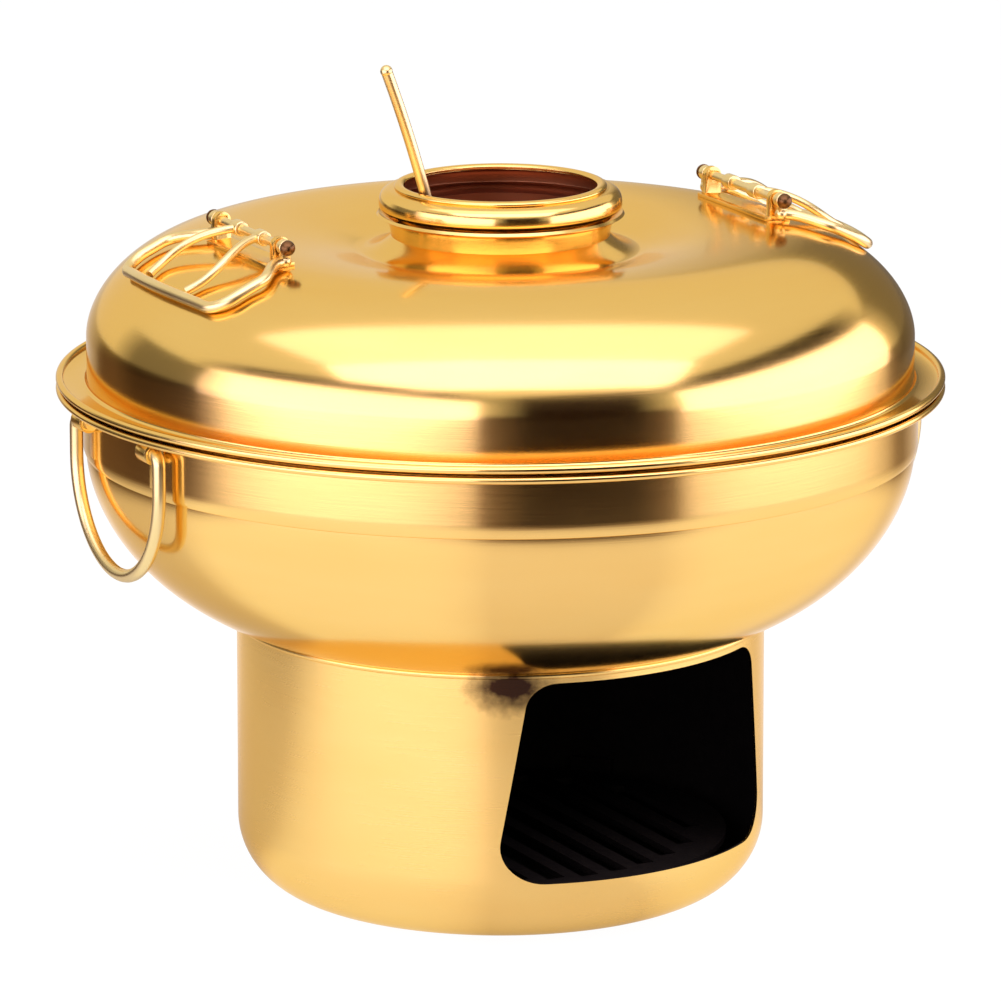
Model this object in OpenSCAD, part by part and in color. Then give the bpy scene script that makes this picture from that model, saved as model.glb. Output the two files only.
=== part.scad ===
// Chimney hot pot: a spun metal fire base, a ring-shaped pot round a flue,
// a domed lid with folding wire handles and a snuffer cap with a rod.
// Millimetres, +Z up, origin at the centre of the base's foot.
// Handles lie on the X axis; the stoke window faces -Y, turned a little.

/* [Sheet metal] */
// Thickness of the spun sheet
sheet_t = 1.0; // [0.8:0.1:1.4]
// Gap left between welded or pressed pieces
weld_gap = 0.06; // [0.04:0.01:0.1]
// Gap between pieces that lift apart
lift_gap = 0.35; // [0.3:0.05:0.5]

/* [Fire base] */
// Outer radius of the drum
base_r = 83.6; // [80:0.2:88]
// Height of the centre of the rolled top edge
base_h = 88.6; // [82:0.2:100]
// Radius of the rounded bottom corner
base_corner_r = 24; // [16:1:30]
// Radius of the rolled top edge
base_curl_r = 1.0; // [0.9:0.1:1.6]

/* [Stoke window] */
// Height of the sill
window_low = 22; // [20:1:30]
// Metal left between the window and the rolled edge
window_head = 1.6; // [1:0.2:5]
// Width at the sill
window_low_w = 107; // [90:1:112]
// Width at the head
window_top_w = 88; // [70:1:96]
// Corner radius at the sill
window_low_round = 12; // [6:1:16]
// Corner radius at the head
window_top_round = 9; // [5:1:14]
// Turn of the window away from -Y, degrees
window_turn = 12; // [0:1:30]

/* [Fire grate] */
// Gap between the grate and the drum's wall
grate_gap = 9.2; // [7:0.1:12]
// Thickness of the grate
grate_t = 2.0; // [1.6:0.1:3]
// Height of the grate's underside
grate_z = 16; // [12:1:17]
// Width of one slot
grate_slot_w = 6; // [4:0.5:8]
// Width of one bar between slots
grate_bar_w = 5; // [4:0.5:8]
// Rim left round the slots
grate_rim_w = 8; // [6:1:12]
// Width of a support bracket
bracket_w = 14; // [10:1:18]
// Height of a support bracket on the wall
bracket_h = 12; // [8:1:14]

/* [Bowl] */
// Outer radius of the pot's rolled rim
rim_r = 139.9; // [120:0.1:160]
// Width of the rim outside the bowl
rim_w = 10.3; // [9:0.1:14]
// Depth from the band to the bowl's bottom
bowl_depth = 63.5; // [56:0.5:72]
// Roundness of the bowl's side, 2 is an ellipse
bowl_round_side = 3.05; // [2.2:0.05:3.6]
// Roundness of the bowl's bottom, 2 is an ellipse
bowl_round_floor = 1.78; // [1.6:0.02:2.2]
// Outward step of the upright band
band_step = 0.9; // [0.4:0.1:1.5]
// Height of the upright band
band_h = 19.2; // [17.5:0.1:26]
// Radius of the rolled rim's bead
pot_bead_r = 1.1; // [1:0.1:1.5]

/* [Flue] */
// Radius of the flue opening in the bowl's floor
flue_low_r = 56; // [48:1:60]
// Height of the flue's upright foot
flue_foot_h = 8; // [6:1:12]
// Height of the flue's cone
flue_cone_h = 42; // [32:1:52]
// Height of the socket that takes the chimney
flue_socket_h = 10; // [6:1:14]
// Outer radius of the chimney tube
chimney_r = 31; // [28:0.2:31]

/* [Pot handles] */
// Radius of the handle wire
handle_wire_r = 2.1; // [1.8:0.1:2.3]
// Distance between the middles of the legs
handle_w = 64; // [54:0.5:70]
// Drop from the hinge to the middle of the lowest wire
handle_drop = 43.5; // [38:0.5:50]
// Radius of the bend at the top of a leg
handle_bend_r = 3.2; // [3:0.1:5]
// Length of the end that turns in the ear
handle_stub_l = 9.5; // [8.8:0.1:12]
// Radial play of the end in its ear
hinge_play = 0.05; // [0.03:0.01:0.08]
// Width of an ear
ear_w = 7; // [5:0.5:7.5]
// Thickness of an ear's metal
ear_t = 1.2; // [1:0.1:1.6]
// Height of the ear's foot plate
ear_foot_h = 14; // [11:0.5:15]
// Distance from the bowl's widest radius to the hinge line
ear_out = 1.9; // [1.7:0.1:3]
// Distance from the flange down to the hinge line
ear_drop = 4.4; // [4.3:0.1:6]

/* [Lid] */
// Radius of the rolled edge's bead
lid_bead_r = 1.25; // [1.1:0.05:1.5]
// Height of the bead's centre above the lid's flange
lid_bead_up = 1.0; // [0.8:0.1:1.4]
// Width of the lid's rim outside its wall
lid_rim_w = 9.7; // [8.9:0.1:14]
// Height of the upright wall above the flange
lid_wall_h = 14.2; // [12:0.2:20]
// Width of the lid's shoulder, from the wall in to the crest
lid_shoulder_w = 46.2; // [38:0.2:54]
// Height of the shoulder above the wall
lid_shoulder_h = 32.3; // [26:0.1:36]
// Roundness of the shoulder's side, 2 is an ellipse
lid_round_side = 2.06; // [1.9:0.02:2.4]
// Roundness of the shoulder's top, 2 is an ellipse
lid_round_top = 1.82; // [1.7:0.02:2.2]
// Radius of the crease round the neck
lid_crease_r = 44; // [42:0.5:50]
// Fall from the crest to the crease
lid_dip = 5.6; // [3:0.2:8]
// Rise from the crease to the neck
lid_throat_h = 4.7; // [3:0.1:7]
// Depth of the locating ring below the flange
lid_ring_h = 7; // [4:0.5:10]
// Height of the locating ring's weld band above the flange
lid_ring_weld_h = 7; // [4:0.5:9]

/* [Neck] */
// Inner radius of the neck
neck_in_r = 32.3; // [32:0.1:33.5]
// Height of the neck below its lip
neck_h = 6.8; // [5:0.1:9]
// Widening of the neck towards its lip
neck_flare = 0.8; // [0.4:0.1:1.2]
// Depth of the neck inside the lid
neck_sink = 3; // [2.5:0.5:4]

/* [Snuffer cap] */
// Outer radius of the cup's body
cup_r = 31.8; // [30.8:0.1:31.9]
// Inner radius of the cup's mouth
cup_mouth_r = 30.2; // [28:0.1:31]
// Half width of the flat bead round the mouth
cup_bead_w = 1.6; // [1.2:0.1:1.9]
// Half height of the flat bead
cup_bead_h = 0.9; // [0.7:0.05:1.2]
// Height of the bulged ring above its widest place
cup_ring_h = 5.2; // [4:0.1:6]
// Depth of the bulged ring below its widest place
cup_ring_low_h = 2.4; // [2:0.1:3.5]
// Fullness of the bulged ring, 2 is an ellipse
cup_ring_full = 2.8; // [2:0.1:3.5]
// Width of the bulged ring outside the body
cup_ring_w = 6.4; // [5:0.1:7]
// Height of the cup's body below the ring
cup_body_h = 6.1; // [5:0.1:7]
// Radius of the rod
rod_r = 1.8; // [1.5:0.1:2.2]
// Radius of the bow in the rod
rod_bow_r = 450; // [400:10:520]
// Lean of the rod at its foot, degrees
rod_lean_low = 15; // [12:0.5:16]
// Lean of the rod at its tip, degrees
rod_lean_high = 22; // [20:0.5:23]
// Distance of the rod's foot from the axis
rod_foot_r = 24.2; // [20:0.1:24.5]
// Direction in which the rod leans, degrees from +X
rod_turn = 186; // [150:1:240]
// Radius of the pad under the rod
rod_pad_r = 5; // [4:0.5:5.5]

/* [Lid handles] */
// Distance of the hinge pin from the lid's wall
lid_pin_in = 44.2; // [42:0.2:46]
// Height of the hinge pin above the crest
lid_pin_up = 6.8; // [6.4:0.1:8]
// Radius of the hinge pin
lid_pin_r = 1.4; // [1.2:0.1:1.5]
// Radius of the pin's round heads
pin_head_r = 2.5; // [2.2:0.1:3]
// Thickness of the bracket's plate
plate_t = 1.2; // [1:0.1:1.6]
// Width of the bracket's plate
plate_w = 9; // [8:0.5:10]
// Half length of the bracket
bracket_half_l = 23; // [21:0.5:24]
// Thickness of an upright lug
lug_t = 2.2; // [1.8:0.1:2.6]
// Radius of a lug's round top
lug_r = 2.8; // [2.6:0.1:3.2]
// Half the gap between the two inner knuckles
bow_knuckle_t = 6; // [5:0.5:8]
// Length of one inner knuckle
bow_knuckle_l = 5; // [4:0.5:6]
// Radius of an inner knuckle
knuckle_r = 2.4; // [2.2:0.1:2.6]
// Thickness of the handle's end links
link_t = 3; // [2.6:0.1:3.4]
// Axial gap between pieces on the pin
pin_gap = 0.4; // [0.3:0.1:0.6]
// Radius of the outer handle wire
lid_wire_r = 1.8; // [1.6:0.05:1.9]
// Radius of the ball that closes the outer wire
wire_ball_r = 2.1; // [2:0.05:2.2]
// Radius of the inner bow wires
bow_wire_r = 1.35; // [1.1:0.05:1.5]
// Reach of the handle from the hinge pin
lid_handle_reach = 31; // [28:0.5:34]
// Half width of the handle
lid_handle_half_w = 36; // [34:0.5:38]
// Bow of the handle's outer bar
lid_handle_bow = 2.5; // [1.5:0.5:4]
// Corner radius of the handle
lid_handle_corner_r = 8; // [6:0.5:10]
// Half the widest gap between the inner bows
bow_half_w = 17; // [15:0.5:19]
// Half the gap between the bows at the outer bar
bow_end_half_w = 14; // [11:0.5:15]
// Gap between the resting handle and the lid
lid_handle_clear = 0.8; // [0.6:0.1:1.2]

/* [Hidden] */

$fn = 96;
fine = 24;            // steps along a long curve
few = 8;              // steps along a small bend
wire_sides = 12;      // sides of a bent wire
thread_fn = 48;       // small round pieces

gold = [0.83, 0.62, 0.28];
gold_deep = [0.72, 0.50, 0.20];
gold_pale = [0.90, 0.72, 0.38];
iron = [0.30, 0.28, 0.26];
brown = [0.45, 0.27, 0.14];

// ---- outlines of spun pieces ------------------------------------------------
function unit(v) = v / norm(v);
function left_of(v) = [-v[1], v[0]];
function reversed(list) = [for (i = [len(list) - 1 : -1 : 0]) list[i]];
function side_normal(p, i) = left_of(unit(p[i + 1] - p[i]));
function corner_normal(p, i) =
  i == 0 ? side_normal(p, 0)
  : i == len(p) - 1 ? side_normal(p, i - 1)
  : let (a = side_normal(p, i - 1), b = side_normal(p, i)) (a + b) / (1 + a * b);
// The same line, moved to its left by the sheet's thickness
function moved(p, d) = [for (i = [0 : len(p) - 1]) p[i] + d * corner_normal(p, i)];
function arc(c, rx, ry, a0, a1, n) =
  [for (i = [0 : n]) let (a = a0 + (a1 - a0) * i / n) c + [rx * cos(a), ry * sin(a)]];

module spun(line, t) {
  rotate_extrude() polygon(concat(line, reversed(moved(line, t))));
}
module ring(r, z, wire) {
  translate([0, 0, z]) rotate_extrude() translate([r, 0]) circle(r = wire, $fn = 32);
}

// ---- heights and radii that follow from the sizes above ---------------------
curl_ring_r = base_r - base_curl_r + 0.9;
window_high = base_h - base_curl_r - window_head;

bowl_r = rim_r - rim_w;
lid_wall_r = rim_r - lid_rim_w;
lid_crest_r = lid_wall_r - lid_shoulder_w;
lid_pin_x = lid_wall_r - lid_pin_in;
grate_r = base_inner_r(grate_z) - grate_gap;

// Height of the bowl's outside above its lowest plane, at radius r
function bowl_rise(r) =
  bowl_depth * (1 - pow(1 - pow(r / bowl_r, bowl_round_side), 1 / bowl_round_floor));
function bowl_slope(r) = (bowl_rise(r + 0.1) - bowl_rise(r - 0.1)) / 0.2;
seat_slope = bowl_slope(curl_ring_r);
seat_slant = sqrt(1 + seat_slope * seat_slope);
pot_z = base_h + (base_curl_r + lift_gap) * seat_slant - bowl_rise(curl_ring_r);
bowl_edge_z = pot_z + bowl_depth;
band_r = bowl_r + band_step;
pot_flange_z = bowl_edge_z + band_h;
flange_bend_r = 1.2;
pot_bead_ring_r = rim_r - pot_bead_r;
pot_bead_z = pot_flange_z + 0.2;

cone_low_r = flue_low_r - sheet_t * sin(atan(bowl_slope(flue_low_r))) - weld_gap;
socket_r = chimney_r + weld_gap + sheet_t;
flue_low_z = pot_z + bowl_rise(flue_low_r) - 2;
cone_z = flue_low_z + flue_foot_h;
socket_z = cone_z + flue_cone_h;
socket_top_z = socket_z + flue_socket_h;

lid_under_z = pot_flange_z + sheet_t + lift_gap;
lid_flange_z = lid_under_z + sheet_t;
lid_bead_z = lid_flange_z + lid_bead_up;
lid_bead_ring_r = rim_r - lid_bead_r;
lid_wall_z = lid_flange_z + lid_wall_h;
crest_z = lid_wall_z + lid_shoulder_h;
crease_z = crest_z - lid_dip;
throat_z = crease_z + lid_throat_h;
// Height of the lid's outside over the shoulder, at radius r
function shoulder_z(r) = lid_wall_z + lid_shoulder_h
  * pow(1 - pow(max(0, r - lid_crest_r) / (lid_wall_r - lid_crest_r), lid_round_side), 1 / lid_round_top);

neck_out_r = neck_in_r + sheet_t;
throat_r = neck_out_r + weld_gap + sheet_t;
neck_low_z = throat_z - neck_sink;
// Centre of the cup's bulged ring, seen in section, and its reach
ring_c = [cup_r + 1.2, throat_z + neck_h + cup_ring_low_h + lift_gap];
ring_rx = cup_ring_w - 1.2;
cup_floor_z = ring_c[1] - cup_ring_low_h - cup_body_h;
cup_inside_z = cup_floor_z + sheet_t;
mouth_ring_r = cup_mouth_r + cup_bead_w;
mouth_z = ring_c[1] + cup_ring_h + 0.6;
chimney_top_z = cup_floor_z - 1.5;

hinge_x = bowl_r + ear_out;
hinge_z = pot_flange_z - ear_drop;
ear_bore_r = handle_wire_r + hinge_play;
ear_loop_r = ear_bore_r + ear_t;
leg_t = handle_w / 2;
ear_out_t = leg_t - handle_bend_r - 0.3;

pin_z = crest_z + lid_pin_up;
pin_bore_r = lid_pin_r + hinge_play;
arm_t = bracket_half_l + pin_gap + wire_ball_r;
pin_half_l = arm_t + link_t / 2 + pin_gap;

// ---- fire base --------------------------------------------------------------
function base_line() = concat(
  [[0, 0]],
  arc([base_r - base_corner_r, base_corner_r], base_corner_r, base_corner_r, -90, 0, 12),
  [[base_r, base_h]]);

// Corner of the window, measured from the sill's middle; tilt is the side's lean
function window_corner_x(tilt, r, up) = -window_low_w / 2 + (r + up * sin(tilt)) / cos(tilt);
function window_half() =
  let (tilt = atan((window_low_w - window_top_w) / 2 / (window_high - window_low)),
       low = [window_corner_x(tilt, window_low_round, window_low_round), window_low + window_low_round],
       high = [window_corner_x(tilt, window_top_round, window_high - window_top_round - window_low),
               window_high - window_top_round])
  concat(
    arc(high, window_top_round, window_top_round, 90, 180 - tilt, few),
    arc(low, window_low_round, window_low_round, 180 - tilt, 270, few));
module window_cut() {
  half = window_half();
  rotate([0, 0, window_turn]) rotate([90, 0, 0]) linear_extrude(height = 2 * base_r)
    polygon(concat(half, reversed([for (p = half) [-p[0], p[1]]])));
}

module base_can() {
  color(gold) union() {
    difference() {
      spun(base_line(), sheet_t);
      window_cut();
    }
    ring(curl_ring_r, base_h, base_curl_r);
  }
}

module fire_grate() {
  pitch = grate_slot_w + grate_bar_w;
  inner = grate_r - grate_rim_w;
  count = floor((inner - grate_slot_w / 2) / pitch);
  color(iron) translate([0, 0, grate_z]) difference() {
    cylinder(r = grate_r, h = grate_t);
    for (i = [-count : count]) {
      half = sqrt(inner * inner - pow(abs(i) * pitch + grate_slot_w / 2, 2));
      if (half > 4) translate([i * pitch - grate_slot_w / 2, -half, -1])
        cube([grate_slot_w, 2 * half, grate_t + 2]);
    }
  }
}

// Three angle brackets under the grate, spot welded to the drum's wall
module grate_brackets() {
  wall_r = base_inner_r(grate_z);
  reach = wall_r - grate_r + 5;
  color(iron) for (a = [30, 150, 270]) rotate([0, 0, a + window_turn]) intersection() {
    union() {
      translate([wall_r - reach, -bracket_w / 2, grate_z - weld_gap - sheet_t])
        cube([reach, bracket_w, sheet_t]);
      translate([wall_r - 2.5 * sheet_t, -bracket_w / 2, grate_z - weld_gap - sheet_t])
        cube([2.5 * sheet_t, bracket_w, bracket_h * 0.5]);
    }
    bracket_space();
  }
}
// Inner radius of the drum at height z
function base_inner_r(z) = z >= base_corner_r ? base_r - sheet_t
  : base_r - base_corner_r
    + sqrt(pow(base_corner_r - sheet_t, 2) - pow(base_corner_r - z, 2));
module bracket_space() {
  rotate_extrude() polygon(concat(
    [[0, sheet_t + weld_gap]],
    arc([base_r - base_corner_r, base_corner_r], base_corner_r - sheet_t - weld_gap,
        base_corner_r - sheet_t - weld_gap, -90, 0, fine),
    [[base_r - sheet_t - weld_gap, base_h / 2], [0, base_h / 2]]));
}

// ---- pot --------------------------------------------------------------------
function bowl_line() =
  let (t_hole = acos(pow(flue_low_r / bowl_r, bowl_round_side / 2)))
  concat(
    [for (i = [0 : fine])
      let (t = t_hole * (1 - i / fine))
      let (out = pow(cos(t), 2 / bowl_round_side), down = pow(sin(t), 2 / bowl_round_floor))
      [bowl_r * out, bowl_edge_z - bowl_depth * down]],
    [[band_r, bowl_edge_z + band_step * 1.5]],
    arc([band_r + flange_bend_r, pot_flange_z - flange_bend_r], flange_bend_r, flange_bend_r, 180, 90, 4),
    [[pot_bead_ring_r, pot_flange_z]]);

module bowl() {
  color(gold) union() {
    spun(bowl_line(), sheet_t);
    ring(pot_bead_ring_r, pot_bead_z, pot_bead_r);
  }
}

module flue_cone() {
  line = [[cone_low_r, flue_low_z], [cone_low_r, cone_z], [socket_r, socket_z], [socket_r, socket_top_z]];
  color(gold_deep) spun(line, sheet_t);
}

module chimney_tube() {
  color(brown) translate([0, 0, socket_z]) difference() {
    cylinder(r = chimney_r, h = chimney_top_z - socket_z);
    translate([0, 0, -1]) cylinder(r = chimney_r - sheet_t, h = chimney_top_z - socket_z + 2);
  }
}

// A round rod along the Y axis, from y to y + length
module rod_y(x, y, z, r, length) {
  translate([x, y, z]) rotate([-90, 0, 0]) cylinder(r = r, h = length, $fn = thread_fn);
}

// One ear: a foot plate that follows the band, and a loop round the handle's end
module ear(side) {
  y = side * (ear_out_t - ear_w / 2) - ear_w / 2;
  foot_top = hinge_z + ear_loop_r * 0.6;
  inside_r = band_r + weld_gap;
  difference() {
    union() {
      intersection() {
        translate([0, y, foot_top - ear_foot_h]) cube([2 * band_r, ear_w, ear_foot_h]);
        translate([0, 0, foot_top - ear_foot_h]) cylinder(r = inside_r + ear_t, h = ear_foot_h);
      }
      rod_y(hinge_x, y, hinge_z, ear_loop_r, ear_w);
    }
    translate([0, 0, hinge_z - 2 * ear_foot_h]) cylinder(r = inside_r, h = 4 * ear_foot_h);
    rod_y(hinge_x, y - 1, hinge_z, ear_bore_r, ear_w + 2);
  }
}
module ears() { color(gold_deep) { ear(1); ear(-1); } }

// A hanging ring of wire whose two ends turn inwards through the ears
module pot_handle() {
  leg_h = handle_drop - leg_t - handle_bend_r;
  bend_t = leg_t - handle_bend_r;
  color(gold_pale) translate([hinge_x, 0, hinge_z]) union() {
    translate([0, 0, -handle_bend_r - leg_h]) rotate([0, 0, 90]) rotate([-90, 0, 0])
      rotate_extrude(angle = 180) translate([leg_t, 0]) circle(r = handle_wire_r, $fn = thread_fn);
    for (s = [-1, 1]) {
      translate([0, s * leg_t, -handle_bend_r - leg_h])
        cylinder(r = handle_wire_r, h = leg_h, $fn = thread_fn);
      translate([0, s * bend_t, -handle_bend_r]) rotate([0, 0, 90 * s]) rotate([90, 0, 0])
        rotate_extrude(angle = 90) translate([handle_bend_r, 0]) circle(r = handle_wire_r, $fn = thread_fn);
      translate([0, s * bend_t, 0]) rotate([90 * s, 0, 0])
        cylinder(r = handle_wire_r, h = handle_stub_l, $fn = thread_fn);
    }
  }
}

// ---- lid --------------------------------------------------------------------
function lid_line() = concat(
  [[lid_bead_ring_r, lid_bead_z],
   [lid_bead_ring_r - 1.1, lid_flange_z + 0.6],
   [lid_bead_ring_r - 2.3, lid_flange_z]],
  arc([lid_wall_r + 1.4, lid_flange_z + 1.4], 1.4, 1.4, -90, -180, 4),
  [for (i = [0 : fine]) let (t = 90 * i / fine)
    [lid_crest_r + (lid_wall_r - lid_crest_r) * pow(cos(t), 2 / lid_round_side),
     lid_wall_z + lid_shoulder_h * pow(sin(t), 2 / lid_round_top)]],
  [for (i = [1 : few]) let (s = i / few)
    [lid_crest_r - (lid_crest_r - lid_crease_r) * s, crest_z - lid_dip * s * s]],
  [for (i = [1 : few]) let (s = i / few)
    [lid_crease_r - (lid_crease_r - throat_r) * s, crease_z + lid_throat_h * s * s]]);

module lid_shell() {
  color(gold) union() {
    spun(lid_line(), sheet_t);
    ring(lid_bead_ring_r, lid_bead_z, lid_bead_r);
  }
}

// Ring welded inside the lid's wall, which drops into the pot's band
module lid_ring() {
  weld_r = lid_wall_r - sheet_t - weld_gap;
  drop_r = min(weld_r, band_r - sheet_t - 0.5);
  color(gold_deep) spun([
    [drop_r, lid_under_z - lid_ring_h], [drop_r, lid_under_z], [weld_r, lid_flange_z + 1.5],
    [weld_r, lid_flange_z + lid_ring_weld_h]], sheet_t);
}

// Spun neck with a flared lip that holds the snuffer's ring
module lid_neck() {
  in_rx = ring_rx + lift_gap;
  in_ry = cup_ring_low_h + lift_gap;
  outside = concat(
    [[neck_out_r, neck_low_z], [neck_out_r, throat_z], [neck_out_r + neck_flare, throat_z + neck_h * 0.62]],
    arc(ring_c, in_rx + sheet_t, in_ry + sheet_t, -72, -36, few));
  inside = concat(
    arc(ring_c, in_rx, in_ry, -36, -72, few),
    [[neck_in_r + neck_flare, throat_z + neck_h * 0.62], [neck_in_r, throat_z], [neck_in_r, neck_low_z]]);
  color(gold) rotate_extrude() polygon(concat(outside, inside));
}

// Height of the lid's outside near the hinge, at radius r
function lid_top_z(r) = r >= lid_crest_r ? shoulder_z(r)
  : crest_z - lid_dip * pow((lid_crest_r - r) / (lid_crest_r - lid_crease_r), 2);

// Plate formed to the lid, with two upright lugs that hold the hinge pin
module lid_bracket() {
  low_r = lid_pin_x - plate_w;
  span = 3 * plate_w;
  line = [for (i = [0 : few]) let (r = low_r + span * i / few) [r, lid_top_z(r) + weld_gap]];
  lug_foot_z = crest_z + weld_gap + 0.2;
  color(gold_deep) difference() {
    union() {
      intersection() {
        rotate_extrude() polygon(concat(line, reversed([for (p = line) p + [0, plate_t]])));
        translate([lid_pin_x - plate_w / 2, -bracket_half_l, crest_z - plate_w])
          cube([plate_w, 2 * bracket_half_l, 2 * plate_w]);
      }
      for (s = [-1, 1]) {
        y = s > 0 ? bracket_half_l - lug_t : -bracket_half_l;
        translate([lid_pin_x - lug_r, y, lug_foot_z]) cube([2 * lug_r, lug_t, pin_z - lug_foot_z]);
        rod_y(lid_pin_x, y, pin_z, lug_r, lug_t);
      }
    }
    rod_y(lid_pin_x, -bracket_half_l - 1, pin_z, pin_bore_r, 2 * bracket_half_l + 2);
  }
}

module hinge_pin() {
  color(gold_pale) {
    rod_y(lid_pin_x, -pin_half_l, pin_z, lid_pin_r, 2 * pin_half_l);
    for (s = [-1, 1]) translate([lid_pin_x, s * pin_half_l, pin_z]) rotate([-90 * s, 0, 0])
      rotate_extrude($fn = thread_fn) intersection() {
        circle(r = pin_head_r, $fn = thread_fn);
        square([pin_head_r, pin_head_r]);
      }
  }
}

// ---- bent wires of the lid handles ------------------------------------------
function smooth(s) = let (c = min(1, max(0, s))) c * c * (3 - 2 * c);
function bezier(a, b, c, d, s) =
  pow(1 - s, 3) * a + 3 * s * pow(1 - s, 2) * b + 3 * s * s * (1 - s) * c + s * s * s * d;
// The outer wire lies on the lid; a bow starts at the pin's height and comes down
function on_lid_z(x, y, r) = lid_top_z(norm([x, y])) + r + lid_handle_clear;
come_down = 0.8;      // share of the reach over which a bow comes down
function bow_z(x, y) =
  let (s = smooth((x - lid_pin_x) / (lid_handle_reach * come_down)))
  (1 - s) * pin_z + s * on_lid_z(x, y, bow_wire_r);

// Tube along a line of points; its section never turns over, as no run is upright
module bent_wire(line, r) {
  n = len(line);
  m = wire_sides;
  rings = [for (i = [0 : n - 1])
    let (a = line[max(0, i - 1)], b = line[min(n - 1, i + 1)], along = unit(b - a),
         across = unit(cross([0, 0, 1], along)), over = cross(along, across))
    for (k = [0 : m - 1]) line[i] + r * (cos(360 * k / m) * across + sin(360 * k / m) * over)];
  polyhedron(points = rings, faces = concat(
    [[for (k = [0 : m - 1]) k]],
    [for (i = [0 : n - 2], k = [0 : m - 1])
      [i * m + k, (i + 1) * m + k, (i + 1) * m + (k + 1) % m]],
    [for (i = [0 : n - 2], k = [0 : m - 1])
      [i * m + k, (i + 1) * m + (k + 1) % m, i * m + (k + 1) % m]],
    [[for (k = [m - 1 : -1 : 0]) (n - 1) * m + k]]));
}
module pin_bore() { rod_y(lid_pin_x, -2 * pin_half_l, pin_z, pin_bore_r, 4 * pin_half_l); }

arm_z = on_lid_z(lid_pin_x, arm_t, lid_wire_r);
handle_far_x = lid_pin_x + lid_handle_reach;
corner_x = handle_far_x - lid_handle_bow - lid_handle_corner_r;
// Outer bar, bowed away from the hinge
bar_half_l = lid_handle_half_w - lid_handle_corner_r;
function bar_x(t) = handle_far_x - lid_handle_bow * pow(abs(t) / bar_half_l, 2);
// Half of the handle seen from above, from the hinge to the middle of the bar
function handle_half() = concat(
  [for (i = [0 : few]) bezier([lid_pin_x, arm_t], [lid_pin_x + 7, arm_t],
    [lid_pin_x + 8, lid_handle_half_w], [lid_pin_x + 14, lid_handle_half_w], i / few)],
  arc([corner_x, bar_half_l], lid_handle_corner_r, lid_handle_corner_r, 90, 8, few),
  [for (i = [2 : few]) let (t = bar_half_l * (1 - i / few)) [bar_x(t), t]]);
function handle_flat() = let (half = handle_half())
  concat(half, reversed([for (i = [0 : len(half) - 2]) [half[i][0], -half[i][1]]]));

// The outer wire, a ball at each end, and a link from each ball up to the pin
module lid_handle() {
  line = [for (p = handle_flat()) [p[0], p[1], on_lid_z(p[0], p[1], lid_wire_r)]];
  color(gold_pale) difference() {
    union() {
      bent_wire(line, lid_wire_r);
      for (s = [-1, 1]) {
        y = s * arm_t - link_t / 2;
        translate([lid_pin_x, s * arm_t, arm_z]) sphere(r = wire_ball_r, $fn = thread_fn);
        translate([lid_pin_x - lid_pin_r, y, arm_z]) cube([2 * lid_pin_r, link_t, pin_z - arm_z]);
        rod_y(lid_pin_x, y, pin_z, knuckle_r, link_t);
      }
    }
    pin_bore();
  }
}

bow_t = bow_knuckle_t + bow_knuckle_l / 2;
bow_end_x = bar_x(bow_end_half_w) - lid_wire_r - bow_wire_r * 0.35 - 0.15;
function bow_flat() = [for (i = [0 : 2 * few])
  bezier([lid_pin_x + pin_bore_r, bow_t], [lid_pin_x + 9, bow_t + 1],
    [lid_pin_x + 16, 2 * bow_half_w - bow_end_half_w], [bow_end_x, bow_end_half_w], i / (2 * few))];
// Two bowed wires inside the handle, each rolled round the pin and welded to the bar
module handle_bows() {
  line = [for (p = bow_flat()) [p[0], p[1], bow_z(p[0], p[1])]];
  color(gold_pale) difference() {
    for (s = [-1, 1]) union() {
      bent_wire(s > 0 ? line : reversed([for (p = line) [p[0], -p[1], p[2]]]), bow_wire_r);
      knuckle_y = s > 0 ? bow_knuckle_t : -bow_knuckle_t - bow_knuckle_l;
      rod_y(lid_pin_x, knuckle_y, pin_z, knuckle_r, bow_knuckle_l);
    }
    pin_bore();
  }
}

// ---- snuffer cap ------------------------------------------------------------
function cup_line() = concat(
  [[0, cup_floor_z]],
  arc([cup_r - 2, cup_floor_z + 2], 2, 2, -90, 0, 4),
  [[cup_r, ring_c[1] - cup_ring_low_h - 0.8]],
  arc(ring_c, ring_rx, cup_ring_low_h, -84, 0, few),
  [for (i = [1 : 2 * few]) let (a = 84 * i / (2 * few))
    ring_c + [ring_rx * pow(cos(a), 2 / cup_ring_full), cup_ring_h * pow(sin(a), 2 / cup_ring_full)]],
  [[mouth_ring_r, mouth_z]]);

module snuffer_cup() {
  color(gold) union() {
    spun(cup_line(), sheet_t);
    rotate_extrude() polygon(arc([mouth_ring_r, mouth_z], cup_bead_w, cup_bead_h, 0, 345, 23));
  }
}

pad_t = 1.2;
rod_low_z = cup_inside_z + pad_t + 2 * weld_gap;
module snuffer_rod() {
  c = [rod_foot_r + rod_bow_r * cos(rod_lean_low), rod_low_z - rod_bow_r * sin(rod_lean_low)];
  tip = c + rod_bow_r * [-cos(rod_lean_high), sin(rod_lean_high)];
  color(gold_pale) rotate([0, 0, rod_turn]) difference() {
    union() {
      translate([c[0], 0, c[1]]) rotate([90, 0, 0]) rotate([0, 0, 180 - rod_lean_high])
        rotate_extrude(angle = rod_lean_high - rod_lean_low + 0.4, $fn = 720)
          translate([rod_bow_r, 0]) circle(r = rod_r, $fn = thread_fn);
      translate([tip[0], 0, tip[1]]) sphere(r = rod_r + 0.12, $fn = thread_fn);
    }
    translate([rod_foot_r - 8, -8, rod_low_z - 8]) cube([16, 16, 8]);
  }
}

// Small pad that spreads the rod's weld over the cup's floor
module rod_pad() {
  color(gold_deep) rotate([0, 0, rod_turn]) translate([rod_foot_r, 0, cup_inside_z + weld_gap])
    cylinder(r = rod_pad_r, h = pad_t, $fn = thread_fn);
}

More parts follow.
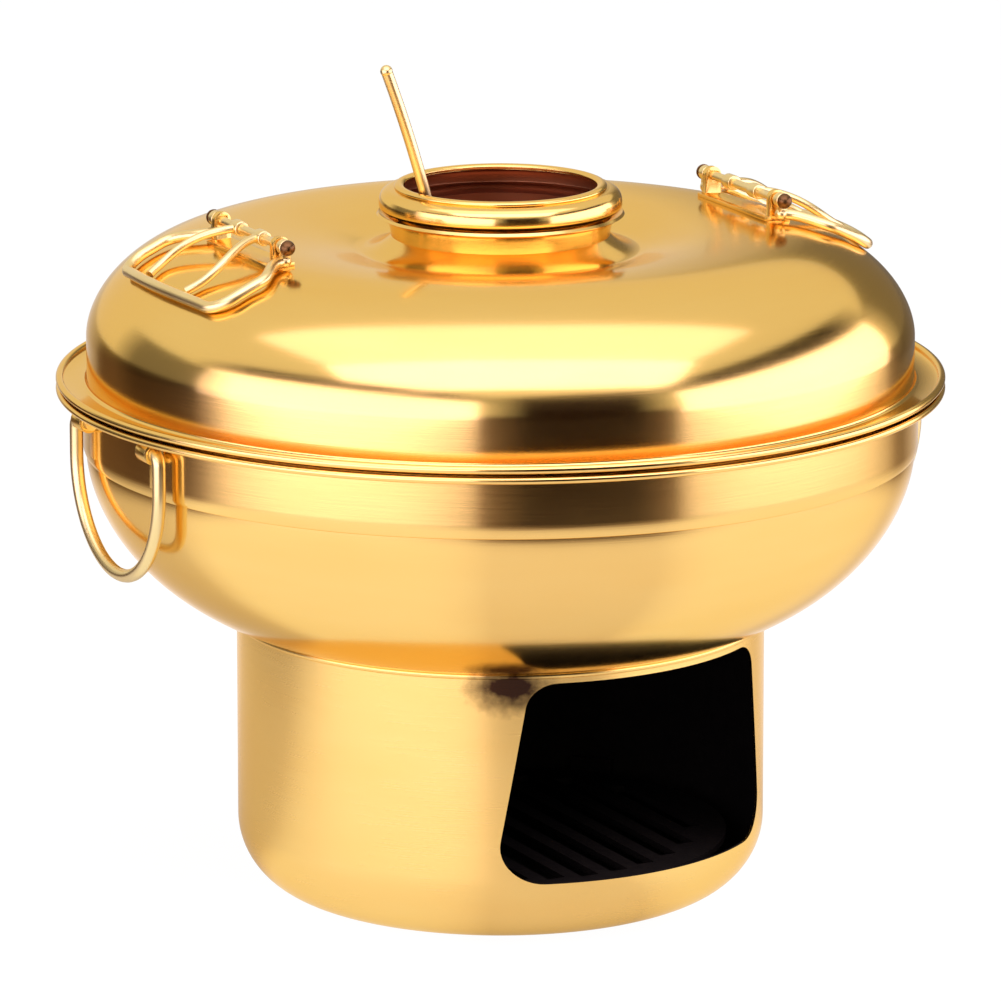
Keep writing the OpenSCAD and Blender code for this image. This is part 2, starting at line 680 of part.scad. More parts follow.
// ---- left-hand copies are the right-hand pieces turned half round -----------
module half_turn() { rotate([0, 0, 180]) children(); }

base_can();
fire_grate();
grate_brackets();
bowl();
flue_cone();
chimney_tube();
half_turn() ears();  // left_ears
ears();  // right_ears
half_turn() pot_handle();  // left_pot_handle
pot_handle();  // right_pot_handle
lid_shell();
lid_ring();
lid_neck();
half_turn() lid_bracket();  // left_lid_bracket
lid_bracket();  // right_lid_bracket
half_turn() hinge_pin();  // left_hinge_pin
hinge_pin();  // right_hinge_pin
half_turn() lid_handle();  // left_lid_handle
lid_handle();  // right_lid_handle
half_turn() handle_bows();  // left_handle_bows
handle_bows();  // right_handle_bows
snuffer_cup();
snuffer_rod();
rod_pad();
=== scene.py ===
from math import acos, atan2, cos, degrees, hypot, pi, radians, sin

import bpy
from mathutils import Matrix, Vector


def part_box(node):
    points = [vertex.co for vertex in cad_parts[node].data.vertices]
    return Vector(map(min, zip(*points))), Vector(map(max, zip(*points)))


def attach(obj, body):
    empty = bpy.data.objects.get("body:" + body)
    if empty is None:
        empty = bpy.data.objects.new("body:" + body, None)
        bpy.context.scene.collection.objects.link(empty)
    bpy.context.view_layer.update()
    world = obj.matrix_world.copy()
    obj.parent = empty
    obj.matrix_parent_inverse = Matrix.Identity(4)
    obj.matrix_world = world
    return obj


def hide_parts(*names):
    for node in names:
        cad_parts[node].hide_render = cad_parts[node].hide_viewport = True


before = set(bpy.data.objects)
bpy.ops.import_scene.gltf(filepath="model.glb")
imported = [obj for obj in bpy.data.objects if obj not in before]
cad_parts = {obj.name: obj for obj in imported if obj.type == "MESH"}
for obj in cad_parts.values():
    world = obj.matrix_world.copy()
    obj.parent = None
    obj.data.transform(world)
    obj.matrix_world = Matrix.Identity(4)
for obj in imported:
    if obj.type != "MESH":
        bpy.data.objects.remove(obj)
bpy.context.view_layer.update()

mm = 0.001

# ---- Camera ------------------------------------------------------------------
# The photograph was taken from a little left of the stoke window, looking down
# on the lid from some distance. Angles are worked out from the rims' ellipses.
view_turn = radians(-26)
view_pitch = 0.229
view_distance = 2.5
view_height = 0.7074
focal_pixels = 8122.7
picture_pixels = 1001
sensor = 36.0

bpy.ops.object.camera_add(
    location=(view_distance * sin(view_turn), -view_distance * cos(view_turn), view_height),
    rotation=(pi / 2 - view_pitch, 0, view_turn))
camera = bpy.context.object
camera.data.sensor_width = sensor
camera.data.lens = focal_pixels * sensor / picture_pixels
bpy.context.scene.camera = camera

# ---- Studio ------------------------------------------------------------------
# A pale sweep, two wide soft boxes that stand on it and two that hang over the pot.
# Dark screens between and above them give the polished metal something to mirror.
scene = bpy.context.scene
scene.view_settings.view_transform = "Standard"
white = (1.0, 1.0, 1.0, 1.0)
seen_white = 1.05
room_colour = (1.0, 0.93, 0.80, 1.0)
room_strength = 0.85
daylight = (0.82, 0.69, 1.0)


def towards(turn, reach, height):
    """A point at a turn to the right of the camera, a reach from the pot's axis and a height."""
    angle = view_turn + radians(turn)
    return Vector((reach * sin(angle), -reach * cos(angle), height))


def soft_box(name, place, aim, width, height, radiance):
    """A rectangular lamp that faces an aim; radiance 1 mirrors as plain white."""
    bpy.ops.object.light_add(
        type="AREA", location=place, rotation=(aim - place).to_track_quat("-Z", "Y").to_euler())
    lamp = bpy.context.object
    lamp.name = name
    lamp.data.shape = "RECTANGLE"
    lamp.data.size = width
    lamp.data.size_y = height
    lamp.data.color = daylight
    lamp.data.energy = radiance * width * height * pi
    lamp.visible_camera = False
    return lamp


left_turn = -46
right_turn = 88
over_turn = 4
lamp_reach = 0.85
lamp_height = 0.56
side_width = 1.45
over_width = 2.8
middle_up = Vector((0, 0, lamp_height / 2))
left_place = towards(left_turn, lamp_reach, lamp_height / 2)
right_place = towards(right_turn, lamp_reach, lamp_height / 2)
soft_box("left_soft_box", left_place, middle_up, side_width, lamp_height, 2.4)
soft_box("right_soft_box", right_place, middle_up, side_width, lamp_height, 2.3)
soft_box("front_soft_box", towards(over_turn, 1.0, 1.50), middle_up, over_width, 1.0, 2.5)
soft_box("over_soft_box", towards(over_turn, 0.05, 1.85), middle_up, over_width, 1.05, 1.25)

world = bpy.data.worlds.new("studio_air")
scene.world = world
world.use_nodes = True
air = world.node_tree
air.nodes.clear()
air_out = air.nodes.new("ShaderNodeOutputWorld")
air_mix = air.nodes.new("ShaderNodeMixShader")
air_path = air.nodes.new("ShaderNodeLightPath")
seen_air = air.nodes.new("ShaderNodeBackground")
seen_air.inputs["Color"].default_value = white
seen_air.inputs["Strength"].default_value = seen_white
room_air = air.nodes.new("ShaderNodeBackground")
room_air.inputs["Color"].default_value = room_colour
room_air.inputs["Strength"].default_value = room_strength
air.links.new(air_path.outputs["Is Camera Ray"], air_mix.inputs["Fac"])
air.links.new(room_air.outputs[0], air_mix.inputs[1])
air.links.new(seen_air.outputs[0], air_mix.inputs[2])
air.links.new(air_mix.outputs[0], air_out.inputs["Surface"])


class Value:
    """A number travelling through a material; arithmetic on it adds Math nodes."""

    def __init__(self, finish, socket):
        self.finish = finish
        self.socket = socket

    def _math(self, operation, *others):
        values = dict(enumerate(others))
        return self.finish.node("ShaderNodeMath", {"operation": operation}, values).value()

    def __add__(self, other): return self._math("ADD", self, other)
    def __radd__(self, other): return self._math("ADD", other, self)
    def __sub__(self, other): return self._math("SUBTRACT", self, other)
    def __rsub__(self, other): return self._math("SUBTRACT", other, self)
    def __mul__(self, other): return self._math("MULTIPLY", self, other)
    def __rmul__(self, other): return self._math("MULTIPLY", other, self)
    def __truediv__(self, other): return self._math("DIVIDE", self, other)
    def __pow__(self, other): return self._math("POWER", self, other)
    def clamped(self): return self._math("MINIMUM", self._math("MAXIMUM", self, 0.0), 1.0)


class Step:
    """A placed node, whose outputs are read by name."""

    def __init__(self, finish, made):
        self.finish = finish
        self.made = made

    def value(self, name=0):
        return Value(self.finish, self.made.outputs[name])


class Finish:
    """A surface finish: one Principled shader and the steps that feed it."""

    def __init__(self, name, **constants):
        self.material = bpy.data.materials.new(name)
        self.material.use_nodes = True
        self.tree = self.material.node_tree
        self.shader = self.tree.nodes["Principled BSDF"]
        for socket, value in constants.items():
            self.shader.inputs[socket.replace("_", " ")].default_value = value
        self.place = self.node("ShaderNodeTexCoord").value("Object")

    def node(self, kind, settings=None, values=None):
        """Adds a node, sets its settings first and then the values or links of its sockets."""
        made = self.tree.nodes.new(kind)
        for key, setting in (settings or {}).items():
            setattr(made, key, setting)
        for key, value in (values or {}).items():
            if isinstance(value, Value):
                self.tree.links.new(value.socket, made.inputs[key])
            else:
                made.inputs[key].default_value = value
        return Step(self, made)

    def axes(self):
        """The three Object coordinates."""
        parts = self.node("ShaderNodeSeparateXYZ", values={0: self.place})
        return parts.value("X"), parts.value("Y"), parts.value("Z")

    def joined(self, x, y, z):
        """Three values as one vector."""
        return self.node("ShaderNodeCombineXYZ", values={0: x, 1: y, 2: z}).value()

    def noise(self, vector, scale, detail=2.0, w=None):
        """Noise from 0 to 1; w is its fourth coordinate, where it has one."""
        values = {"Vector": vector, "Scale": scale, "Detail": detail}
        if w is not None:
            values["W"] = w
        settings = {"noise_dimensions": "3D" if w is None else "4D"}
        return self.node("ShaderNodeTexNoise", settings, values).value("Fac")

    def mixed(self, share, first, second):
        """One colour turning into another; the node's colour sockets are 6, 7 and output 2."""
        values = {"Factor": share, 6: first, 7: second}
        return self.node("ShaderNodeMix", {"data_type": "RGBA"}, values).value(2)

    def feed(self, socket, value):
        self.tree.links.new(value.socket, self.shader.inputs[socket])

    def dent(self, height, strength, distance):
        """Raises and sinks the surface a little, as a pattern says."""
        values = {"Strength": strength, "Distance": distance, "Height": height}
        bump = self.node("ShaderNodeBump", values=values)
        self.feed("Normal", bump.value("Normal"))


# The sweep: white to the camera, with the pot's faint shadow. For the metal, light and shade
# are painted on it: pools of painted light near the pot and in front of the soft boxes, else painted dark
# brown shade.
bpy.ops.mesh.primitive_plane_add(size=12.0, location=(0, 0, -0.2 * mm))
sweep = bpy.context.object
sweep.name = "studio_floor"
paper = Finish("paper_floor", Roughness=0.9)
floor_x, floor_y, floor_up = paper.axes()
floor_r = (floor_x * floor_x + floor_y * floor_y) ** 0.5 + mm
near_reach = 0.42
near_fade = 0.20
sector_fade = 12
near = (1.0 - (floor_r - near_reach) / near_fade).clamped()


def lit_sector(turn, half_angle):
    """1 on the floor round a turn, falling to 0 beyond the half angle."""
    aim = towards(turn, 1.0, 0)
    facing = (floor_x * aim.x + floor_y * aim.y) / floor_r
    edge = cos(radians(half_angle + sector_fade))
    return ((facing - edge) / (cos(radians(half_angle - sector_fade)) - edge)).clamped()


# Painted light in the lit sectors and near the pot, painted shade in the dark sectors and far off.
lit_floor = (lit_sector(-42, 28) + lit_sector(84, 34)).clamped()
painted_floor_shade = lit_sector(21, 18) * (1.0 - near)
painted_floor_light = (near * 0.5 + near * lit_sector(-68, 13) * 0.4 + lit_floor * 0.5 + lit_sector(178, 30) * 0.4 + 0.08
         - painted_floor_shade * 0.5 - lit_sector(-112, 22) * 0.15).clamped()
paper.feed("Base Color", paper.mixed(painted_floor_light, (0.06, 0.025, 0.007, 1.0), (0.86, 0.84, 0.80, 1.0)))
# For glossy rays the floor also glows as much as its painted light says, so the metal mirrors painted light.
lit = paper.node("ShaderNodeEmission", values={"Color": white, "Strength": seen_white})
rays = paper.node("ShaderNodeLightPath")
share = (rays.value("Is Camera Ray") * 0.93 + rays.value("Is Glossy Ray") * painted_floor_light * 0.8).clamped()
blend = paper.node("ShaderNodeMixShader", values={"Fac": share})
paper.tree.links.new(paper.shader.outputs[0], blend.made.inputs[1])
paper.tree.links.new(lit.made.outputs[0], blend.made.inputs[2])
paper.tree.links.new(blend.made.outputs[0], paper.tree.nodes["Material Output"].inputs["Surface"])
sweep.data.materials.append(paper.material)

# The screens: one stands between the soft boxes, two hang above them and two of
# thin felt close the sides. Their edges thin out, and only the metal sees them.
edge_fade = 0.26


def screen_felt(name, cover):
    """Dark felt that lets some light through, and more towards a screen's side edges."""
    felt = Finish(name, Roughness=1.0, Specular_IOR_Level=0.0)
    across, depth, up = felt.axes()
    felt.feed("Alpha", ((0.5 - (across * across) ** 0.5) / edge_fade).clamped() * cover)
    nap = felt.noise(felt.place, 300.0)
    felt.feed("Base Color", felt.mixed(nap, (0.006, 0.002, 0.0005, 1), (0.012, 0.004, 0.001, 1)))
    return felt.material


dark_felt = screen_felt("dark_felt", 1.0)
thin_felt = screen_felt("thin_felt", 0.75)


def dark_screen(name, turn, reach, low, high, width, felt=dark_felt):
    """An upright screen, from a low to a high height, that faces the pot."""
    place = towards(turn, reach, (low + high) / 2)
    facing = (pi / 2, 0, view_turn + radians(turn))
    bpy.ops.mesh.primitive_plane_add(size=1.0, location=place, rotation=facing)
    screen = bpy.context.object
    screen.name = name
    screen.scale = (width, high - low, 1.0)
    screen.visible_camera = False
    screen.visible_diffuse = False
    screen.visible_shadow = False
    screen.data.materials.append(felt)


dark_screen("middle_screen", 20, 0.62, 0.0, 0.46, 0.62)
dark_screen("left_header", left_turn, 0.84, 0.57, 0.74, 1.9)
dark_screen("right_header", right_turn, 0.84, 0.57, 0.80, 1.9)
dark_screen("left_wing", -100, 0.80, 0.0, 0.45, 0.80, thin_felt)
dark_screen("right_wing", 152, 0.80, 0.0, 0.50, 0.80, thin_felt)

# ---- Fire base ---------------------------------------------------------------
# A deep cup spun from brass sheet, with a rolled top edge that carries the pot.
# The stoke window is cut through the wall, and the inside is black with soot.
sheet = 1.0 * mm
base_radius = 83.6 * mm
base_corner = 24 * mm
base_curl = 1.0 * mm
turns = 256
base_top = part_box("base_can")[1].z - base_curl
curl_ring = base_radius - base_curl + 0.9 * mm
window_turn = radians(12)
window_sill = 22 * mm
window_top = base_top - base_curl - 1.6 * mm
sill_width = 107 * mm
head_width = 88 * mm
sill_round = 12 * mm
head_round = 9 * mm

brass_bright = (0.95, 0.66, 0.22, 1)
brass_deep = (0.90, 0.54, 0.13, 1)
brass_edge = (0.95, 0.80, 0.52, 1)
# The brown of the patch painted on the drum.
patch_brown = (0.045, 0.015, 0.004, 1)


def ring_brushed(name, roughness=0.16, grain=1.0, dark_patch=None):
    """Brass polished on the lathe: scratches run round the axis and spread highlights."""
    finish = Finish(name, Metallic=1.0, Anisotropic=0.6, Anisotropic_Rotation=0.25, Coat_Weight=0.2,
                    Specular_Tint=brass_edge)
    x, y, z = finish.axes()
    radius = (x * x + y * y) ** 0.5 + mm
    way = finish.joined(x / radius, y / radius, radius * 500.0)
    fine = finish.noise(way, 5.0, 3.0, z * 500.0)
    wide_way = finish.joined(x / radius, y / radius, radius * 45.0)
    broad = finish.noise(wide_way, 2.2, 2.0, z * 45.0)
    smudge = finish.noise(finish.place, 26.0, 4.0)
    colour = finish.mixed(broad * 0.45 + smudge * 0.2, brass_bright, brass_deep)
    # A darker brown patch is painted round a spot, where one is given.
    if dark_patch:
        spot, across, down = dark_patch
        aside = ((x - spot.x) * (x - spot.x) + (y - spot.y) * (y - spot.y)) / across ** 2
        away = (aside + (z - spot.z) * (z - spot.z) / down ** 2) ** 0.5
        speckle = finish.noise(finish.place, 260.0, 4.0)
        share = (1.5 - away * 1.2 + (speckle - 0.5) * 0.9).clamped()
        colour = finish.mixed(share, colour, patch_brown)
    finish.feed("Base Color", colour)
    finish.feed("Roughness", roughness - 0.06 + fine * 0.07 * grain + smudge * 0.05)
    finish.dent(fine, 0.05 * grain, 0.2 * mm)
    return finish.material


def soot_black():
    """Charcoal soot baked on the metal, with paler ash in patches."""
    finish = Finish("soot_black", Metallic=0.0, Specular_IOR_Level=0.15)
    crust = finish.noise(finish.place, 260.0, 6.0)
    patch = finish.noise(finish.place, 45.0, 3.0)
    ash = finish.mixed(crust * patch, (0.003, 0.002, 0.0015, 1), (0.016, 0.012, 0.009, 1))
    finish.feed("Base Color", ash)
    finish.feed("Roughness", crust * 0.2 + 0.7)
    finish.dent(crust, 0.5, 0.6 * mm)
    return finish.material


spun_brass = ring_brushed("spun_brass")
# A darker brown patch is painted on the drum beside the window's head.
patch_turn = radians(-24)
patch_spot = Vector((base_radius * sin(patch_turn), -base_radius * cos(patch_turn), 85 * mm))
drum_brass = ring_brushed("drum_brass", roughness=0.26, dark_patch=(patch_spot, 13 * mm, 8 * mm))
soot = soot_black()


def arc(centre, radius, start, stop, count):
    """Points on a circle in the drawing plane; the angles are in degrees."""
    angles = [radians(start + (stop - start) * i / count) for i in range(count + 1)]
    return [(centre[0] + radius * cos(a), centre[1] + radius * sin(a)) for a in angles]


def draw(name, points):
    """Draws a line in the mesh by extruding one vertex from point to point, and leaves it selected."""
    bpy.ops.object.select_all(action="DESELECT")
    bpy.ops.mesh.primitive_plane_add(size=mm)
    line = bpy.context.object
    line.name = name
    bpy.ops.object.mode_set(mode="EDIT")
    bpy.ops.mesh.merge(type="CENTER")
    bpy.ops.transform.translate(value=points[0])
    for here, there in zip(points, points[1:]):
        bpy.ops.mesh.extrude_region_move(TRANSFORM_OT_translate={"value": there - here})
    bpy.ops.mesh.select_all(action="SELECT")
    return line


def finished(piece, body, slot, *nodes, angle=35):
    """Smooths a piece, hangs it on its body and lets it stand for its CAD nodes."""
    bpy.ops.object.select_all(action="DESELECT")
    piece.select_set(True)
    bpy.context.view_layer.objects.active = piece
    bpy.ops.object.shade_smooth_by_angle(angle=radians(angle))
    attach(piece, body)
    if nodes:
        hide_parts(*nodes)
    return piece


def apply(piece, kind, **settings):
    """Adds a modifier to a piece and applies it."""
    bpy.context.view_layer.objects.active = piece
    modifier = piece.modifiers.new(kind.lower(), kind)
    for key, value in settings.items():
        setattr(modifier, key, value)
    bpy.ops.object.modifier_apply(modifier=modifier.name)


def spin(name, outline, thickness=sheet, steps=turns):
    """Spins an outline of (radius, height) round the axis and gives the sheet its thickness inwards."""
    shell = draw(name, [Vector((r, 0, z)) for r, z in outline])
    bpy.ops.mesh.spin(steps=steps, angle=2 * pi, center=(0, 0, 0), axis=(0, 0, 1))
    bpy.ops.mesh.select_all(action="SELECT")
    bpy.ops.mesh.remove_doubles(threshold=0.01 * mm)
    bpy.ops.mesh.normals_make_consistent(inside=False)
    bpy.ops.object.mode_set(mode="OBJECT")
    if thickness:
        apply(shell, "SOLIDIFY", thickness=thickness, offset=-1, use_even_offset=True)
    return shell


def roll_edge(piece, ring_radius, height, wire):
    """Adds the rolled edge of a spun piece, a ring of round section."""
    bpy.ops.object.select_all(action="DESELECT")
    bpy.ops.mesh.primitive_torus_add(
        major_radius=ring_radius, minor_radius=wire, major_segments=turns, minor_segments=28)
    bead = bpy.context.object
    bpy.ops.object.mode_set(mode="EDIT")
    bpy.ops.transform.translate(value=(0, 0, height))
    bpy.ops.object.mode_set(mode="OBJECT")
    piece.select_set(True)
    bpy.context.view_layer.objects.active = piece
    bpy.ops.object.join()
    return piece


def coat(piece, outer, inner, is_inner):
    """Gives a piece two finishes; is_inner says by a face's middle and normal which gets the inner one."""
    piece.data.materials.clear()
    piece.data.materials.append(outer)
    piece.data.materials.append(inner)
    for face in piece.data.polygons:
        face.material_index = int(is_inner(face.center, face.normal))


def window_outline():
    """Half of the window's outline, from the head's middle line round to the sill's."""
    tilt = atan2((sill_width - head_width) / 2, window_top - window_sill)

    def corner_x(radius, up):
        return -sill_width / 2 + (radius + up * sin(tilt)) / cos(tilt)

    head = (corner_x(head_round, window_top - head_round - window_sill), window_top - head_round)
    sill = (corner_x(sill_round, sill_round), window_sill + sill_round)
    lean = degrees(tilt)
    return arc(head, head_round, 90, 180 - lean, 12) + arc(sill, sill_round, 180 - lean, 270, 12)


base_outline = [(0.0, 0.0)]
base_outline += arc((base_radius - base_corner, base_corner), base_corner, -90, 0, 24)
wall_rings = range(28, 88, 6)
base_outline += [(base_radius, z * mm) for z in wall_rings]
base_outline += [(base_radius, base_top)]
base_can = spin("base_can_spun", base_outline)

half = window_outline()
full = half + [(-x, z) for x, z in reversed(half)]
cutter_front = -1.5 * base_radius
cutter_depth = 1.4 * base_radius
cutter = draw("window_cutter", [Vector((x, cutter_front, z)) for x, z in full])
bpy.ops.mesh.edge_face_add()
bpy.ops.mesh.extrude_region_move(TRANSFORM_OT_translate={"value": (0, cutter_depth, 0)})
bpy.ops.mesh.select_all(action="SELECT")
bpy.ops.mesh.normals_make_consistent(inside=False)
bpy.ops.object.mode_set(mode="OBJECT")
cutter.data.transform(Matrix.Rotation(window_turn, 4, "Z"))
apply(base_can, "BOOLEAN", operation="DIFFERENCE", object=cutter, solver="EXACT")
bpy.data.objects.remove(cutter)
roll_edge(base_can, curl_ring, base_top, base_curl)
# The sooty inside: the wall's inner face, and the floor up to where the corner rises.
inner_wall = base_radius - 0.9 * sheet
floor_edge = base_radius - base_corner / 4


def inside_the_base(c, n):
    """Whether a face, by its middle and normal, is on the sooty inside."""
    on_wall = hypot(c.x, c.y) < inner_wall and n.x * c.x + n.y * c.y < 0
    return on_wall or (0.5 * sheet < c.z < base_corner and hypot(c.x, c.y) < floor_edge and n.z > 0)


coat(base_can, drum_brass, soot, inside_the_base)
finished(base_can, "stove_base", "polished_brass", "base_can")

# ---- Fire grate --------------------------------------------------------------
# A slotted iron plate on three welded angle brackets, under the charcoal.
for node in ("fire_grate", "grate_brackets"):
    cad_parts[node].data.materials.clear()
    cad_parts[node].data.materials.append(soot)

# ---- Bowl --------------------------------------------------------------------
# The pot's bowl, spun from one sheet: a round belly, an upright band, a flat
# flange and a rolled rim. Its underside is sooty where the base covers it.
bowl_radius = 129.6 * mm
bowl_depth = 63.5 * mm
round_side = 3.05
round_floor = 1.78
band_step = 0.9 * mm
band_height = 19.2 * mm
rim_radius = 139.9 * mm
pot_bead = 1.1 * mm
flue_radius = 56 * mm
pot_bead_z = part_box("bowl")[1].z - pot_bead
pot_flange_z = pot_bead_z - 0.2 * mm
bowl_edge_z = pot_flange_z - band_height
band_radius = bowl_radius + band_step

hole_angle = degrees(acos((flue_radius / bowl_radius) ** (round_side / 2)))
bowl_outline = []
for i in range(65):
    t = radians(hole_angle * (1 - i / 64))
    drop = bowl_depth * sin(t) ** (2 / round_floor)
    bowl_outline.append((bowl_radius * cos(t) ** (2 / round_side), bowl_edge_z - drop))
flange_round = 1.2 * mm
flange_corner = (band_radius + flange_round, pot_flange_z - flange_round)
bowl_outline += [(band_radius - 0.25 * mm, bowl_edge_z + 0.35 * mm), (band_radius, bowl_edge_z + 1.1 * mm)]
bowl_outline += [(band_radius, bowl_edge_z + z * mm) for z in (4, 8, 12, 16)]
bowl_outline += arc(flange_corner, flange_round, 180, 90, 8)
bowl_outline += [(rim_radius - 4 * mm, pot_flange_z), (rim_radius - pot_bead, pot_flange_z)]
bowl = spin("bowl_spun", bowl_outline)
roll_edge(bowl, rim_radius - pot_bead, pot_bead_z, pot_bead)
coat(bowl, spun_brass, soot, lambda c, n: hypot(c.x, c.y) < base_radius - 2 * mm and n.z < 0)
finished(bowl, "pot", "polished_brass", "bowl")

# ---- Flue and chimney --------------------------------------------------------
# A cone welded into the bowl's floor leads the fire's draught into a straight
# tube that ends under the snuffer; heat has browned both.
chimney_radius = 31 * mm
weld = 0.06 * mm


def heat_browned(name, colour, pale):
    """Brass browned by heat, in soft bands up its height."""
    finish = Finish(name, Metallic=1.0)
    x, y, z = finish.axes()
    band = finish.noise(finish.joined(x * 4.0, y * 4.0, z * 30.0), 3.0, 3.0)
    grain = finish.noise(finish.place, 700.0, 2.0)
    finish.feed("Base Color", finish.mixed(band, colour, pale))
    finish.feed("Roughness", 0.26 + band * 0.14)
    finish.dent(grain, 0.05, 0.2 * mm)
    return finish.material


browned = heat_browned("browned_brass", (0.30, 0.12, 0.035, 1), (0.60, 0.30, 0.08, 1))
flue_low, flue_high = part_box("flue_cone")
foot_radius = flue_high.x
socket_radius = chimney_radius + weld + sheet
flue_outline = [(foot_radius, flue_low.z), (foot_radius, flue_low.z + 8 * mm),
                (socket_radius, flue_high.z - 10 * mm), (socket_radius, flue_high.z)]
flue = spin("flue_cone_spun", flue_outline)
coat(flue, browned, soot, lambda c, n: n.x * c.x + n.y * c.y < 0)
finished(flue, "pot", "polished_brass", "flue_cone")

tube_low, tube_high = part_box("chimney_tube")
tube = spin("chimney_spun", [(chimney_radius, tube_low.z), (chimney_radius, tube_high.z)])
coat(tube, browned, soot, lambda c, n: n.x * c.x + n.y * c.y < 0)
finished(tube, "pot", "heat_darkened_brass", "chimney_tube")

# ---- Handle ears -------------------------------------------------------------
# Strips folded into loops and welded to the band, two for each carrying handle.
plain_brass = ring_brushed("plain_brass", roughness=0.26, grain=0.5)


def refined(node, name, body, slot, material, bevel, angle=35):
    """A copy of a CAD node with its edges eased, which stands for it."""
    bpy.ops.object.select_all(action="DESELECT")
    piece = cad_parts[node].copy()
    piece.data = piece.data.copy()
    piece.name = name
    piece.parent = None
    for key in list(piece.keys()):
        del piece[key]
    bpy.context.scene.collection.objects.link(piece)
    piece.select_set(True)
    bpy.context.view_layer.objects.active = piece
    bpy.ops.object.mode_set(mode="EDIT")
    bpy.ops.mesh.select_all(action="SELECT")
    bpy.ops.mesh.remove_doubles(threshold=0.002 * mm)
    bpy.ops.mesh.tris_convert_to_quads(face_threshold=radians(1), shape_threshold=radians(180))
    bpy.ops.mesh.dissolve_limited(angle_limit=radians(0.5))
    bpy.ops.object.mode_set(mode="OBJECT")
    apply(piece, "BEVEL", width=bevel, segments=2, limit_method="ANGLE", angle_limit=radians(40))
    piece.data.materials.clear()
    piece.data.materials.append(material)
    return finished(piece, body, slot, node, angle=angle)


for side in ("left", "right"):
    refined(f"{side}_ears", f"{side}_ear_strips", "pot", "polished_brass", plain_brass, 0.25 * mm)

# ---- Carrying handles --------------------------------------------------------
# Each is one length of brass wire bent to a hanging loop, whose two ends turn
# inwards and sit in the ears.
handle_wire = 2.1 * mm
handle_width = 64 * mm
handle_bend = 3.2 * mm
handle_stub = 9.5 * mm
handle_low, handle_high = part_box("right_pot_handle")
hinge_x = (handle_low.x + handle_high.x) / 2
hinge_z = handle_high.z - handle_wire
loop_radius = handle_width / 2
loop_z = handle_low.z + handle_wire + loop_radius


def drawn_wire(name, colour, pale, roughness=0.2):
    """Drawn and polished wire, with faint scratches and darker patches where hands don't rub it."""
    finish = Finish(name, Metallic=1.0)
    patch = finish.noise(finish.place, 60.0, 3.0)
    scratch = finish.noise(finish.place, 1400.0, 2.0)
    finish.feed("Base Color", finish.mixed(patch, colour, pale))
    finish.feed("Roughness", roughness - 0.03 + scratch * 0.08 + patch * 0.04)
    finish.dent(scratch, 0.04, 0.15 * mm)
    return finish.material


wire_brass = drawn_wire("wire_brass", (0.84, 0.62, 0.25, 1), (0.93, 0.76, 0.38, 1), 0.28)


def bend_wire(name, points, radius):
    """Bends a round wire along a line of points."""
    draw(name, points)
    bpy.ops.object.mode_set(mode="OBJECT")
    bpy.ops.object.convert(target="CURVE")
    wire = bpy.context.object
    wire.data.bevel_depth = radius
    wire.data.bevel_resolution = 6
    wire.data.use_fill_caps = True
    bpy.ops.object.convert(target="MESH")
    wire = bpy.context.object
    wire.name = name
    return wire


def merged(first, *others):
    """Joins pieces of one part into one object."""
    bpy.ops.object.select_all(action="DESELECT")
    for other in others:
        other.select_set(True)
    first.select_set(True)
    bpy.context.view_layer.objects.active = first
    bpy.ops.object.join()
    return first


def turned_half(points):
    """The same points for the left side, half a turn round the pot's axis."""
    return [Vector((-p.x, -p.y, p.z)) for p in points]


leg_bend_y = handle_width / 2 - handle_bend
half_loop = [(leg_bend_y - handle_stub, hinge_z), (leg_bend_y - handle_stub / 2, hinge_z)]
half_loop += arc((leg_bend_y, hinge_z - handle_bend), handle_bend, 90, 0, 10)
half_loop += arc((0, loop_z), loop_radius, 0, -90, 30)
loop_points = [Vector((hinge_x, y, z)) for y, z in half_loop]
loop_points += [Vector((hinge_x, -y, z)) for y, z in reversed(half_loop[:-1])]
for side, points in (("right", loop_points), ("left", turned_half(loop_points))):
    handle = bend_wire(f"{side}_carrying_handle", points, handle_wire)
    handle.data.materials.append(wire_brass)
    finished(handle, f"pot_handle_{side}", "polished_brass", f"{side}_pot_handle")

# ---- Lid ---------------------------------------------------------------------
# The lid is spun from one sheet: a rolled edge, a short wall, a full shoulder
# and a shallow dish round the neck's opening.
lid_bead = 1.25 * mm
lid_wall = 130.2 * mm
lid_wall_height = 14.2 * mm
lid_crest = 84 * mm
shoulder_height = 32.3 * mm
lid_round_side = 2.06
lid_round_top = 1.82
lid_crease = 44 * mm
lid_dip = 5.6 * mm
throat_rise = 4.7 * mm
neck_radius = 33.3 * mm
lid_under_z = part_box("lid_shell")[0].z
crest_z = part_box("lid_shell")[1].z
lid_flange_z = lid_under_z + sheet
lid_wall_z = lid_flange_z + lid_wall_height
crease_z = crest_z - lid_dip
throat_z = crease_z + throat_rise
lid_bead_ring = rim_radius - lid_bead
lid_bead_z = lid_flange_z + 1.0 * mm


def shoulder_z(radius):
    """Height of the lid's outside over the shoulder."""
    share = max(0.0, radius - lid_crest) / (lid_wall - lid_crest)
    return lid_wall_z + shoulder_height * (1 - share ** lid_round_side) ** (1 / lid_round_top)


def lid_top_z(radius):
    """Height of the lid's outside near the handles' hinges."""
    if radius >= lid_crest:
        return shoulder_z(radius)
    return crest_z - lid_dip * ((lid_crest - radius) / (lid_crest - lid_crease)) ** 2


